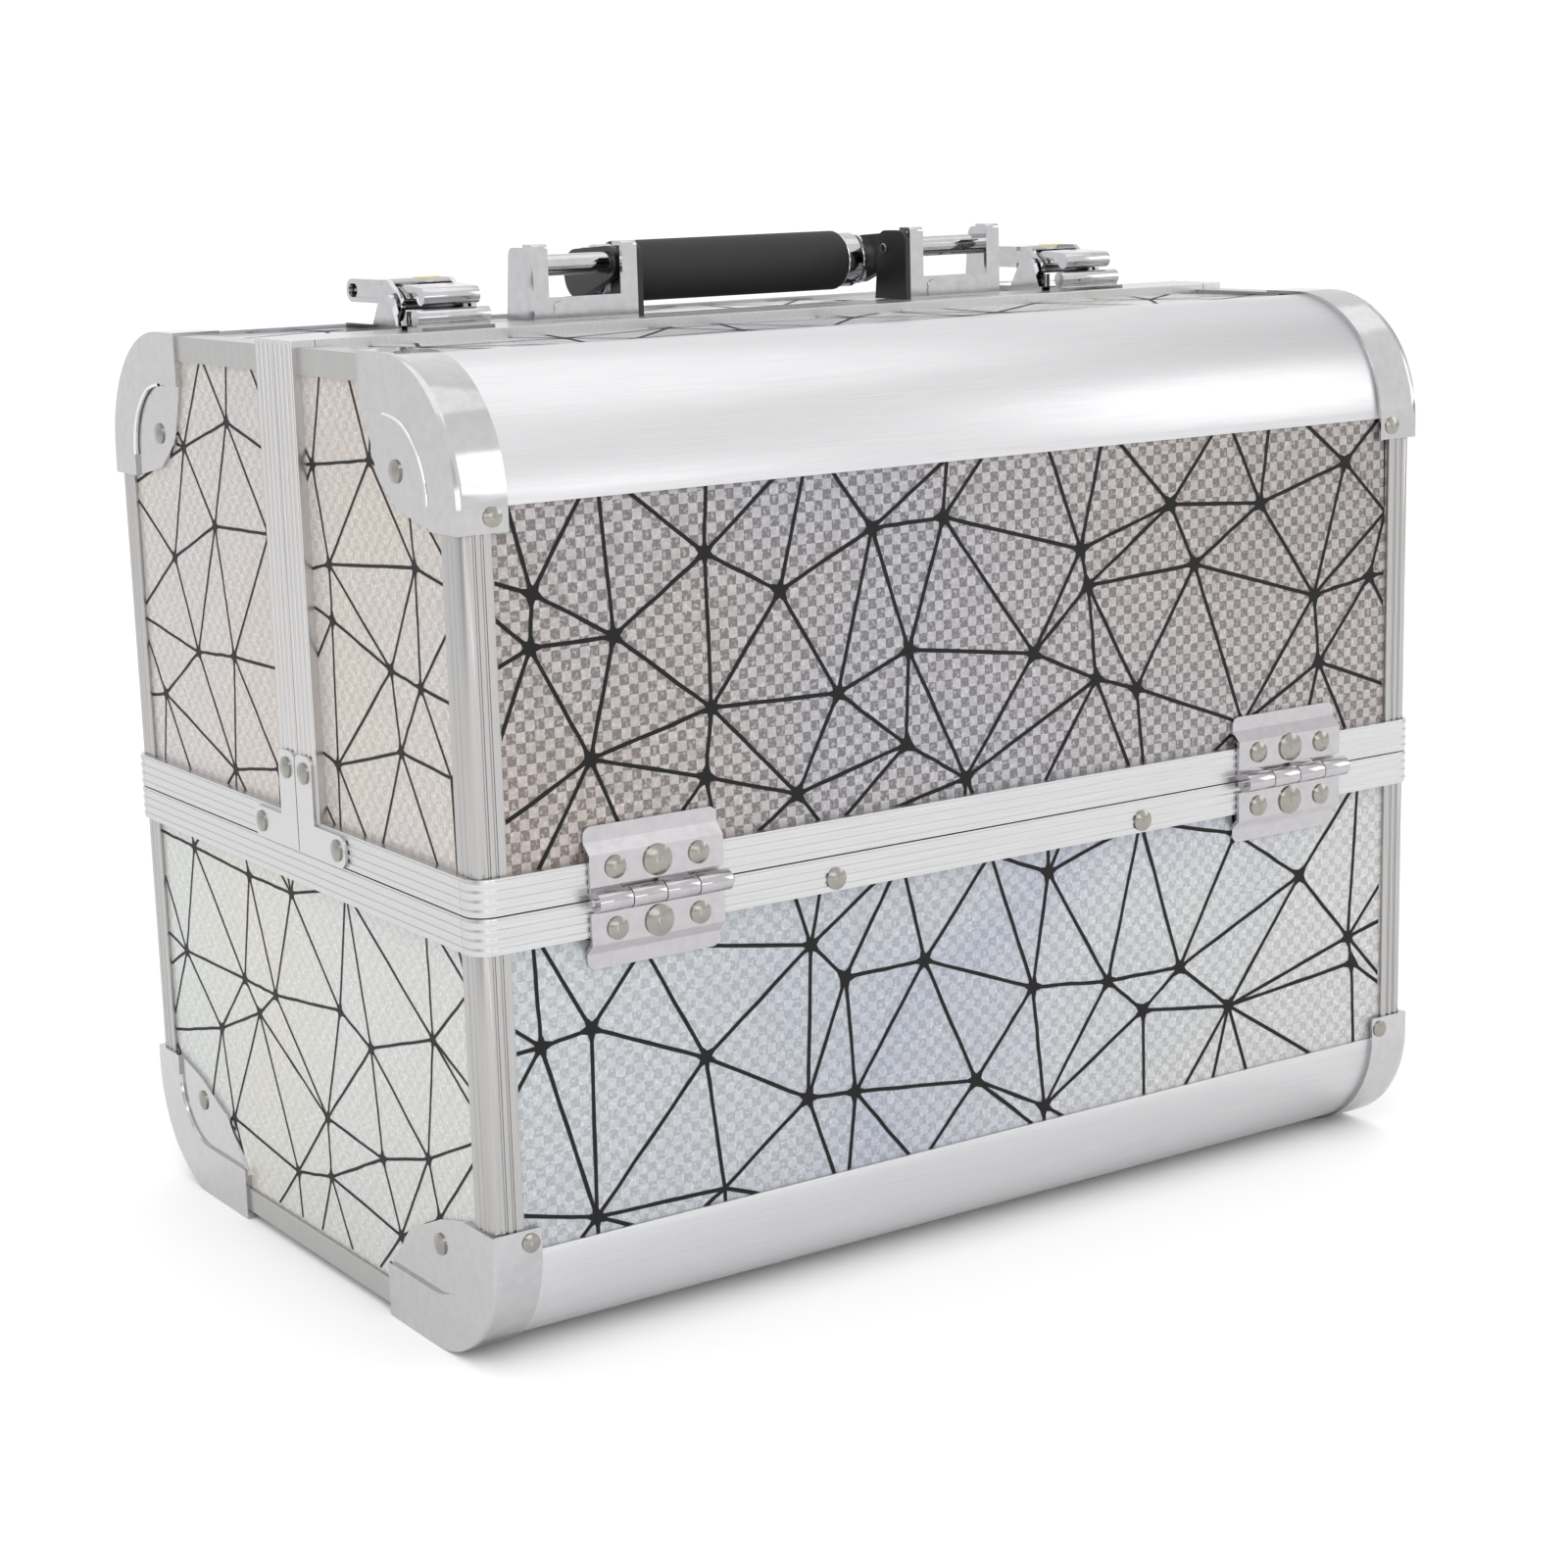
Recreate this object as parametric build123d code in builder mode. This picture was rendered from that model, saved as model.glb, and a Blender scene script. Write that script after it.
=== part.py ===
from build123d import *
import math
import os

# Makeup train case: a box base with two top lids that hinge outwards on the long sides,
# cantilever trays that rise with the lids, a folding handle and two draw latches.
# Millimetres. X runs along the case, -Y is the front, +Z is up.
# The origin is on the floor, under the middle of the case.

# ---- driving dimensions -------------------------------------------------------------
case_length = 360.0        # over the corner posts
case_depth = 241.0         # over the corner posts
case_height = 292.0        # floor to the top of the curved lid profiles
belt_height = 138.0        # where the lids meet the base
seam_y = -11.0             # where the two lids meet, in front of the middle
seam_gap = 0.5             # between the two lids
belt_gap = 0.4             # between a lid and the base
cap_sheet = 1.0            # sheet of the corner caps, which are also the feet
profile_sheet = 1.6        # wall of the aluminium profiles
post_sheet = 1.2           # how far posts stand out from the laminate
post_front_leg = 10.0      # corner post, leg on the long side
post_end_leg = 11.0        # corner post, leg on the end
post_corner = 3.0          # outer rounding of a corner post
board = 5.0                # laminated fibreboard walls
top_radius = 40.0          # curved profile along the top
bottom_radius = 36.6       # curved profile along the bottom
rim_height = 11.0          # rim bars above and below the belt
rim_proud = 2.0            # how far rims stand out from the posts
joint_gap = 0.15           # hairline joints between the bars of a frame
rim_corner = 7.0           # rounding of the rim at the case's corners
rib_width = 1.3            # raised lines on rims and seam bars
rib_depth = 0.28
rib_count = 4
seam_bar = 12.5            # width of each bar of the seam frame
seam_proud = 2.0           # how far the seam frame stands out
edge_width = 8.0           # straight edge profiles at the ends, seen from outside
floor_board = 5.0
mat_sheet = 2.0
cap_band = 15.0            # width of a corner cap's band along the case
cap_ring = 17.0            # width of the raised outer ring of a cap
cap_tail = 7.0             # how far a cap runs past the curve
cap_reach_top = 14.5       # how far the upper cap runs on over the top
cap_reach_bottom = 31.0    # how far the lower cap runs on under the floor
rivet_radius = 3.4
rivet_height = 1.3

hinge_x = 123.0            # centre of each hinge from the middle of the case
hinge_width = 45.0
hinge_offset = 3.5         # from the rim's face out to the hinge axis
hinge_leaf = 1.2
hinge_leaf_height = 21.0
hinge_flat = 13.2          # height of the leaf's flat part, over the rim
hinge_flange = 4.6         # height of the leaf's flange, on the panel
knuckle_radius = 3.1
knuckle_count = 4
knuckle_gap = 0.3
hinge_pin_radius = 1.3
pin_clearance = 0.06
hinge_dome_radius = 4.7

tray_length_gap = 6.0      # from a lid's end wall to a tray's end
tray_below_pivot = 12.0
tray_above_pivot = 20.0
tray_wall = 2.0
tray_partitions = 2
tray_outer_reach = 52.0    # from the upper pivot out to the trays' outer wall
tray_seam_gap = 4.5        # from the seam to the trays' inner wall
upper_pivot = (70.0, 90.0)    # from the hinge axis: inwards and up
lower_pivot = (35.0, 45.0)
arm_offset = (30.0, -5.0)     # from the hinge axis to the arm's own pivot
arm_sheet = 2.0
arm_half_width = 4.5
arm_gap = 2.0              # from the wall to the arm
tray_pin_radius = 2.0
tray_pin_clearance = 0.15
tray_pin_head = 3.5
tray_pin_head_height = 1.2

bracket_x = 73.0           # centre of each handle bracket
bracket_width = 40.0
bracket_height = 24.0
bracket_depth = 18.0
bracket_sheet = 1.5
bracket_top_depth = 6.0
bracket_margin = 5.5       # metal each side of the window
window_low = 7.5           # sill of the open window, above the rail
badge_width = 24.0         # raised pad on the sill
badge_proud = 0.6
cheek_sheet = 2.0          # black cheek on the inner side of a bracket
handle_pivot_y = 2.0
handle_pivot_rise = 17.0   # above the rail
rod_radius = 3.4
grip_radius = 10.0
grip_length = 90.0
grip_back = 20.0           # from the pivot to the grip, handle folded
grip_drop = 4.0
collar_radius = 9.2
collar_length = 6.4
arm_eye = 5.2
arm_root = 8.0
handle_arm_sheet = 3.2

latch_x = 125.0            # centre of each latch
latch_width = 29.0
latch_pivot = (9.0, 7.0)   # from the seam: back and up from the rail
latch_back = 37.0          # base plate, back from the seam
latch_ear = 1.8
latch_plate = 1.5
latch_pin_radius = 1.3
lever_cheek = 1.6
lever_inset = 0.9          # from the edge of the lever's sheet in to a cheek
lever_round = 4.8
lever_top = 8.0            # above the pivot
lever_start = 8.0          # front edge of the lever's sheet, behind the pivot
lever_reach = 27.0         # pivot to the middle of the curled tip
lever_sheet = 1.5
lever_tip_radius = 3.6
hook_pivot = (4.0, 1.0)    # from the lever's pivot
hook_pin_radius = 1.2
hook_eye = 2.3
hook_sheet = 2.4
hook_bead_radius = 2.7     # rolled edge at the hook's nose
hook_bead_rise = 10.2      # its middle, above the rail
keeper_bead_radius = 2.5   # rolled edge on the keeper
keeper_bead_rise = 4.1
keeper_step = 1.4          # the keeper's roll lies this far in front of the hook's
keeper_sheet = 1.3

# ---- places worked out from the sizes ------------------------------------------------
half_length = case_length / 2
half_depth = case_depth / 2
panel_face = half_depth - post_sheet          # outer face of the long panels
end_face = half_length - post_sheet           # outer face of the end panels
inner_end = end_face - board                  # inner face of the end walls
board_edge = half_depth - profile_sheet       # end boards stop inside the profiles
rim_outer_y = half_depth + rim_proud
rim_outer_x = half_length + rim_proud
rim_inner_y = panel_face - board
rim_inner_x = inner_end
base_top = belt_height - belt_gap / 2
lid_low = belt_height + belt_gap / 2
base_rim_low = belt_height - rim_height
lid_rim_high = belt_height + rim_height
shell_low = cap_sheet
rail_top = case_height + seam_proud
top_face = case_height - post_sheet
top_curve_z = case_height - top_radius
top_curve_y = half_depth - top_radius
bottom_curve_z = shell_low + bottom_radius
bottom_curve_y = half_depth - bottom_radius
hinge_y = rim_outer_y + hinge_offset
tray_half = inner_end - tray_length_gap
arm_outer_x = inner_end - arm_gap
arm_inner_x = arm_outer_x - arm_sheet
handle_pivot_z = rail_top + handle_pivot_rise
latch_pivot_y = seam_y + latch_pivot[0]
latch_pivot_z = rail_top + latch_pivot[1]
hook_pivot_y = latch_pivot_y + hook_pivot[0]
hook_pivot_z = latch_pivot_z + hook_pivot[1]
hook_bead_y = seam_y - 5.2
keeper_bead_y = hook_bead_y - keeper_step

FRONT = -1
REAR = 1
SIDE_NAME = {FRONT: "front", REAR: "rear"}
LOW_ALIGN = (Align.CENTER, Align.CENTER, Align.MIN)

os.makedirs("parts", exist_ok=True)


# ---- helpers ---------------------------------------------------------------------------
def save(piece, label):
    """Labels a finished piece and writes its STEP file."""
    piece.part.label = label
    export_step(piece.part, f"parts/{label}.step")


def slab(x_ends, y_ends, z_ends, mode=Mode.ADD):
    """A block between two values along each axis, in any order."""
    ends = [sorted(pair) for pair in (x_ends, y_ends, z_ends)]
    centre = [(low + high) / 2 for low, high in ends]
    sizes = [high - low for low, high in ends]
    with Locations(tuple(centre)):
        Box(*sizes, mode=mode)


def rod_x(x_ends, y, z, radius, mode=Mode.ADD):
    """A cylinder along X between two values, in any order."""
    low, high = sorted(x_ends)
    start = Plane(origin=(low, y, z), x_dir=(0, 1, 0), z_dir=(1, 0, 0))
    with Locations(start):
        Cylinder(radius, high - low, align=LOW_ALIGN, mode=mode)


def dome(origin, outwards, radius, height):
    """A low round head, standing on a face: a short drum under a domed cap."""
    drum = height * 0.4
    cap = height - drum
    ball = (radius**2 + cap**2) / (2 * cap)
    start = math.degrees(math.asin((ball - cap) / ball))
    foot = Plane(origin=origin, z_dir=outwards)
    with Locations(foot):
        Cylinder(radius, drum, align=LOW_ALIGN)
    with Locations(foot.offset(drum)):
        Sphere(ball, arc_size1=start, align=LOW_ALIGN)


def rounded_bar(side, x_half, z_ends, inset, radius):
    """A bar along one long side whose two outer corners are round, seen from above."""
    outer = side * (rim_outer_y - inset)
    inner = side * rim_inner_y
    low, high = sorted(z_ends)
    with BuildSketch(Plane.XY.offset(low)) as outline:
        with Locations((0, (outer + inner) / 2)):
            Rectangle(2 * (x_half - inset), abs(outer - inner))
        corners = vertices().sort_by(Axis.Y)
        fillet(corners[-2:] if side > 0 else corners[:2], radius - inset)
    extrude(outline.sketch, amount=high - low)


def rib_places(low, high):
    """The middles of evenly spaced raised lines between two values."""
    step = (high - low) / rib_count
    return [low + step * (number + 0.5) for number in range(rib_count)]


def quarter_angle(side, top):
    """Where the quarter circle starts, looking along -X with +Y to the right."""
    if top:
        return 0 if side > 0 else 90
    return 270 if side > 0 else 180


def quarter_band(side, top, outer, inner, x_ends):
    """A quarter of a ring about the axis of a curved profile."""
    centre_y = side * (top_curve_y if top else bottom_curve_y)
    centre_z = top_curve_z if top else bottom_curve_z
    low, high = sorted(x_ends)
    start = quarter_angle(side, top)
    with BuildSketch(Plane.YZ.offset(low)) as outline:
        with BuildLine():
            wide = CenterArc((centre_y, centre_z), outer, start, 90)
            slim = CenterArc((centre_y, centre_z), inner, start, 90)
            Line(wide @ 0, slim @ 0)
            Line(wide @ 1, slim @ 1)
        make_face()
    extrude(outline.sketch, amount=high - low)


def corner_cap(side, end, top):
    """A pressed corner cap: a band round the curve and a plate with a raised ring."""
    radius = (top_radius if top else bottom_radius) + cap_sheet
    centre_y = side * (top_curve_y if top else bottom_curve_y)
    centre_z = top_curve_z if top else bottom_curve_z
    up = 1 if top else -1
    reach = cap_reach_top if top else cap_reach_bottom
    outer_x = end * (half_length + cap_sheet)
    band_x = end * (half_length - cap_band)
    plate_x = end * half_length
    shell = radius - cap_sheet
    quarter_band(side, top, radius, shell, (outer_x, band_x))
    along = (centre_y, centre_y - side * reach)
    slab((outer_x, band_x), along, (centre_z + up * shell, centre_z + up * radius))
    across = (centre_y + side * shell, centre_y + side * radius)
    slab((outer_x, band_x), across, (centre_z, centre_z - up * cap_tail))
    corner = (centre_y + side * radius, centre_z + up * radius)
    tail = (centre_y + side * radius, centre_z - up * cap_tail)
    over = (centre_y - side * reach, centre_z + up * radius)
    inner_ring = radius - cap_ring
    with BuildSketch(Plane.YZ.offset(min(end * end_face, plate_x))) as outline:
        with BuildLine():
            Polyline(
                tail,
                corner,
                over,
                (over[0], centre_z + up * (inner_ring + 2)),
                (centre_y - side * (reach * 0.55), centre_z + up * 6),
                (centre_y + side * 4, centre_z - up * 3),
                (centre_y + side * inner_ring, centre_z - up * cap_tail),
                close=True,
            )
        make_face()
        outer_corner = vertices().sort_by_distance(corner)[0]
        fillet(outer_corner, radius - 0.01)
        lobe = (centre_y - side * (reach * 0.55), centre_z + up * 6)
        fillet(vertices().sort_by_distance(lobe)[0], 8)
    extrude(outline.sketch, amount=post_sheet)
    ring_x = (outer_x, plate_x)
    quarter_band(side, top, radius, inner_ring, ring_x)
    ring_y = (centre_y + side * inner_ring, centre_y + side * radius)
    slab(ring_x, ring_y, (centre_z, centre_z - up * cap_tail))
    ring_z = (centre_z + up * inner_ring, centre_z + up * radius)
    slab(ring_x, (centre_y, centre_y - side * reach), ring_z)


def corner_post(side, end, z_ends):
    """An L-shaped profile on an upright edge of the case."""
    low, high = sorted(z_ends)
    with BuildSketch(Plane.XY.offset(low)) as outline:
        with BuildLine():
            x_out = end * half_length
            y_out = side * half_depth
            Polyline(
                (x_out, y_out),
                (x_out, y_out - side * post_end_leg),
                (end * end_face, y_out - side * post_end_leg),
                (end * end_face, side * panel_face),
                (x_out - end * post_front_leg, side * panel_face),
                (x_out - end * post_front_leg, y_out),
                close=True,
            )
        make_face()
        fillet(vertices().sort_by_distance((x_out, y_out))[0], post_corner)
    extrude(outline.sketch, amount=high - low)
    for share in (0.45, 0.7):
        groove_x = end * (half_length - post_front_leg * share)
        slab((groove_x - 0.4, groove_x + 0.4), (y_out, y_out - side * 0.4), z_ends, Mode.SUBTRACT)
        groove_y = side * (half_depth - post_end_leg * share)
        slab((x_out, x_out - end * 0.4), (groove_y - 0.4, groove_y + 0.4), z_ends, Mode.SUBTRACT)


def hinge_leaf_solid(side, end, up):
    """One formed leaf: over the rim, down a step and onto the panel, with its knuckles."""
    centre_x = end * hinge_x
    plate = hinge_offset - hinge_leaf
    step = hinge_offset + rim_proud + post_sheet
    start = knuckle_radius + 0.5
    flange = hinge_leaf_height - hinge_flange

    def place(inwards, rise):
        return (side * (hinge_y - inwards), belt_height + up * rise)

    with BuildSketch(Plane.YZ.offset(centre_x - hinge_width / 2)) as outline:
        with BuildLine():
            Polyline(
                place(plate, start),
                place(plate, hinge_flat),
                place(step - hinge_leaf, flange),
                place(step - hinge_leaf, hinge_leaf_height),
                place(step, hinge_leaf_height),
                place(step, flange - 0.5),
                place(hinge_offset, hinge_flat - 0.5),
                place(hinge_offset, start),
                close=True,
            )
        make_face()
    extrude(outline.sketch, amount=hinge_width)
    ends = edges().filter_by(Axis.Y).group_by(Axis.Z)
    far = ends[-1] if up > 0 else ends[0]
    fillet(far, hinge_flange * 0.6)
    pitch = hinge_width / knuckle_count
    axis = (side * hinge_y, belt_height)
    bore = hinge_pin_radius + pin_clearance
    for number in range(knuckle_count):
        if (number % 2 == 0) != (up > 0):
            continue
        low = centre_x - hinge_width / 2 + number * pitch + knuckle_gap / 2
        high = low + pitch - knuckle_gap
        rod_x((low, high), *axis, knuckle_radius)
        web_y = (side * (hinge_y - plate), side * (hinge_y - hinge_offset))
        slab((low, high), web_y, (belt_height, belt_height + up * (start + 0.1)))
    rod_x((centre_x - hinge_width, centre_x + hinge_width), *axis, bore, Mode.SUBTRACT)


def hinge_heads(side, end, up):
    """Two rivets and the pressed dome of one hinge leaf."""
    face = side * (hinge_y - hinge_offset + hinge_leaf)
    height = belt_height + up * 9.0
    outwards = (0, side, 0)
    for shift in (-14, 14):
        dome((end * hinge_x + shift, face, height), outwards, rivet_radius, rivet_height)
    dome((end * hinge_x, face, height), outwards, hinge_dome_radius, rivet_height + 0.2)


def pin_stack(end, y, z, stages):
    """Round stages of a pivot pin, each (from wall, to wall, radius), on one end wall."""
    for near, far, radius in stages:
        rod_x((end * (inner_end - near), end * (inner_end - far)), y, z, radius)


def pivot_place(side, offset):
    """A pivot given inwards and up from a lid's hinge axis."""
    return side * (hinge_y - offset[0]), belt_height + offset[1]


# ---- the base --------------------------------------------------------------------------
for side in (FRONT, REAR):
    with BuildPart() as base_panel:
        walls = (side * panel_face, side * (panel_face - board))
        slab((-inner_end, inner_end), walls, (bottom_curve_z, base_rim_low))
    save(base_panel, f"base_{SIDE_NAME[side]}_panel")

with BuildPart() as base_end_panels:
    for end in (-1, 1):
        with BuildSketch(Plane.YZ.offset(min(end * end_face, end * inner_end))):
            low = shell_low + profile_sheet
            with Locations((0, (low + base_rim_low) / 2)):
                Rectangle(2 * board_edge, base_rim_low - low)
            fillet(vertices().sort_by(Axis.Y)[:2], bottom_radius - profile_sheet)
        extrude(amount=end_face - inner_end)
save(base_end_panels, "base_end_panels")

with BuildPart() as floor_panel:
    floor_low = shell_low + profile_sheet
    slab((-inner_end, inner_end), (-bottom_curve_y, bottom_curve_y), (floor_low, floor_low + floor_board))
save(floor_panel, "floor_panel")

with BuildPart() as floor_mat:
    mat_low = shell_low + profile_sheet + floor_board
    mat_half_y = bottom_curve_y - 2
    slab((-inner_end + 1, inner_end - 1), (-mat_half_y, mat_half_y), (mat_low, mat_low + mat_sheet))
    fillet(edges().filter_by(Axis.Z), 6)
save(floor_mat, "floor_mat")

with BuildPart() as base_bottom_profiles:
    for side in (FRONT, REAR):
        inner = bottom_radius - profile_sheet
        quarter_band(side, False, bottom_radius, inner, (-end_face, end_face))
save(base_bottom_profiles, "base_bottom_profiles")

with BuildPart() as base_edge_profiles:
    post_low = bottom_curve_z + cap_tail
    for side in (FRONT, REAR):
        for end in (-1, 1):
            corner_post(side, end, (post_low, base_rim_low))
    edge_half = bottom_curve_y - cap_reach_bottom
    for end in (-1, 1):
        heights = (shell_low + profile_sheet, shell_low + profile_sheet + edge_width)
        slab((end * end_face, end * half_length), (-edge_half, edge_half), heights)
save(base_edge_profiles, "base_edge_profiles")

with BuildPart() as base_rim:
    heights = (base_rim_low, base_top)
    bar_half = rim_inner_y - joint_gap
    for side in (FRONT, REAR):
        rounded_bar(side, rim_outer_x, heights, rib_depth, rim_corner)
        for middle in rib_places(*heights):
            ends = (middle - rib_width / 2, middle + rib_width / 2)
            rounded_bar(side, rim_outer_x, ends, 0, rim_corner)
    for end in (-1, 1):
        outer = end * (rim_outer_x - rib_depth)
        slab((outer, end * rim_inner_x), (-bar_half, bar_half), heights)
        for middle in rib_places(*heights):
            ends = (middle - rib_width / 2, middle + rib_width / 2)
            slab((end * rim_outer_x, outer), (-bar_half, bar_half), ends)
save(base_rim, "base_rim")

with BuildPart() as base_corner_caps:
    for side in (FRONT, REAR):
        for end in (-1, 1):
            corner_cap(side, end, False)
save(base_corner_caps, "base_corner_caps")

with BuildPart() as base_hinge_leaves:
    for side in (FRONT, REAR):
        for end in (-1, 1):
            hinge_leaf_solid(side, end, -1)
save(base_hinge_leaves, "base_hinge_leaves")

with BuildPart() as hinge_pins:
    reach = hinge_width / 2 + 1.5
    for side in (FRONT, REAR):
        for end in (-1, 1):
            centre_x = end * hinge_x
            rod_x((centre_x - reach, centre_x + reach), side * hinge_y, belt_height, hinge_pin_radius)
save(hinge_pins, "hinge_pins")

with BuildPart() as base_rivets:
    for side in (FRONT, REAR):
        rim_face = side * rim_outer_y
        for end in (-1, 1):
            hinge_heads(side, end, -1)
            dome((end * 60, rim_face, belt_height - 7), (0, side, 0), rivet_radius, rivet_height)
            cap_rivet = (end * half_length, side * (bottom_curve_y + 3), bottom_curve_z - 5)
            dome(cap_rivet, (end, 0, 0), rivet_radius, rivet_height)
            band_face = side * (half_depth + cap_sheet)
            band_rivet = (end * (half_length - 11.5), band_face, bottom_curve_z + 3)
            dome(band_rivet, (0, side, 0), rivet_radius * 0.85, rivet_height * 0.8)
save(base_rivets, "base_rivets")

with BuildPart() as arm_pivots:
    head = tray_pin_head_height
    face = arm_gap + arm_sheet
    stages = ((0, arm_gap - 0.4, 4.0), (arm_gap - 0.4, face + 0.4, tray_pin_radius))
    stages += ((face + 0.4, face + 0.4 + head, tray_pin_head),)
    for side in (FRONT, REAR):
        y, z = pivot_place(side, arm_offset)
        for end in (-1, 1):
            pin_stack(end, y, z, stages)
save(arm_pivots, "arm_pivots")


# ---- the two lids ------------------------------------------------------------------------
def build_lid(side):
    """All the fixed pieces of one lid."""
    name = f"{SIDE_NAME[side]}_lid"
    seam_edge = seam_y + side * seam_gap / 2
    seam_inner = seam_edge + side * seam_bar
    with BuildPart() as panel:
        walls = (side * panel_face, side * (panel_face - board))
        slab((-inner_end, inner_end), walls, (lid_rim_high, top_curve_z))
    save(panel, f"{name}_panel")

    with BuildPart() as top_panel:
        across = (side * top_curve_y, seam_inner)
        slab((-inner_end, inner_end), across, (top_face, top_face - board))
    save(top_panel, f"{name}_top_panel")

    with BuildPart() as end_panels:
        high = case_height - profile_sheet
        outer = side * board_edge
        for end in (-1, 1):
            with BuildSketch(Plane.YZ.offset(min(end * end_face, end * inner_end))) as outline:
                with Locations(((outer + seam_inner) / 2, (lid_rim_high + high) / 2)):
                    Rectangle(abs(outer - seam_inner), high - lid_rim_high)
                round_corner = vertices().sort_by_distance((outer, high))[0]
                fillet(round_corner, top_radius - profile_sheet)
            extrude(outline.sketch, amount=end_face - inner_end)
    save(end_panels, f"{name}_end_panels")

    with BuildPart() as curved_profile:
        quarter_band(side, True, top_radius, top_radius - profile_sheet, (-end_face, end_face))
    save(curved_profile, f"{name}_curved_profile")

    with BuildPart() as edge_profiles:
        for end in (-1, 1):
            corner_post(side, end, (lid_rim_high, top_curve_z - cap_tail))
            across = (side * (top_curve_y - cap_reach_top), seam_inner)
            slab((end * end_face, end * half_length), across, (case_height - edge_width, case_height))
            over = (end * end_face, end * (inner_end - edge_width * 0.4))
            slab(over, across, (case_height, top_face))
    save(edge_profiles, f"{name}_edge_profiles")

    with BuildPart() as rim:
        heights = (lid_low, lid_rim_high)
        rounded_bar(side, rim_outer_x, heights, rib_depth, rim_corner)
        along = (side * (rim_inner_y - joint_gap), seam_inner)
        for middle in rib_places(*heights):
            ends = (middle - rib_width / 2, middle + rib_width / 2)
            rounded_bar(side, rim_outer_x, ends, 0, rim_corner)
        for end in (-1, 1):
            outer = end * (rim_outer_x - rib_depth)
            slab((outer, end * rim_inner_x), along, heights)
            for middle in rib_places(*heights):
                ends = (middle - rib_width / 2, middle + rib_width / 2)
                slab((end * rim_outer_x, outer), along, ends)
    save(rim, f"{name}_rim")

    with BuildPart() as seam_frame:
        outer_x = half_length + seam_proud
        rail_low = top_face - board
        for end in (-1, 1):
            outer = end * (outer_x - rib_depth)
            slab((outer, end * inner_end), (seam_edge, seam_inner), (lid_low, rail_top))
            for middle in rib_places(*sorted((seam_edge, seam_inner))):
                ends = (middle - rib_width / 2, middle + rib_width / 2)
                slab((outer, end * outer_x), ends, (lid_low, rail_top - 1))
        rail_half = inner_end - joint_gap
        slab((-rail_half, rail_half), (seam_edge, seam_inner), (rail_low, rail_top))
    save(seam_frame, f"{name}_seam_frame")

    with BuildPart() as caps:
        for end in (-1, 1):
            corner_cap(side, end, True)
    save(caps, f"{name}_corner_caps")

    with BuildPart() as seam_brackets:
        for end in (-1, 1):
            face = end * (half_length + seam_proud)
            plate_x = (face, face + end * 1.0)
            upright = (seam_edge, seam_edge + side * 11.5)
            slab(plate_x, upright, (lid_low, belt_height + 31))
            level = (seam_edge, seam_edge + side * 32)
            slab(plate_x, level, (lid_low, belt_height + 10))
        x_edges = edges().filter_by(Axis.X)
        top_corners = x_edges.group_by(Axis.Z)[-1]
        fillet(top_corners, 3.5)
        far_corners = edges().filter_by(Axis.X).sort_by(lambda edge: -abs(edge.center().Y - seam_y))[:4]
        fillet(far_corners, 3.5)
    save(seam_brackets, f"{name}_seam_brackets")

    with BuildPart() as hinge_leaves:
        for end in (-1, 1):
            hinge_leaf_solid(side, end, 1)
    save(hinge_leaves, f"{name}_hinge_leaves")

    with BuildPart() as rivets:
        for end in (-1, 1):
            hinge_heads(side, end, 1)
            plate_x = end * half_length
            bracket_x_face = end * (half_length + seam_proud + 1.0)
            outwards = (end, 0, 0)
            dome((plate_x, side * (top_curve_y + 4), top_curve_z + 8), outwards, rivet_radius, rivet_height)
            high_rivet = (bracket_x_face, seam_edge + side * 6, belt_height + 25.5)
            dome(high_rivet, outwards, rivet_radius, rivet_height)
            low_rivet = (bracket_x_face, seam_edge + side * 26.5, belt_height + 5.2)
            dome(low_rivet, outwards, rivet_radius, rivet_height)
            band_face = side * (half_depth + cap_sheet)
            band_rivet = (end * (half_length - 10), band_face, top_curve_z - 2.5)
            dome(band_rivet, (0, side, 0), rivet_radius * 0.85, rivet_height * 0.8)
    save(rivets, f"{name}_rivets")

    with BuildPart() as tray_pivots:
        gap = tray_length_gap
        past = gap + tray_wall + 0.4
        stages = ((0, gap - 0.4, 4.0), (gap - 0.4, past, tray_pin_radius))
        stages += ((past, past + tray_pin_head_height, tray_pin_head),)
        for offset in (lower_pivot, upper_pivot):
            y, z = pivot_place(side, offset)
            for end in (-1, 1):
                pin_stack(end, y, z, stages)
    save(tray_pivots, f"{name}_tray_pivots")


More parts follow.
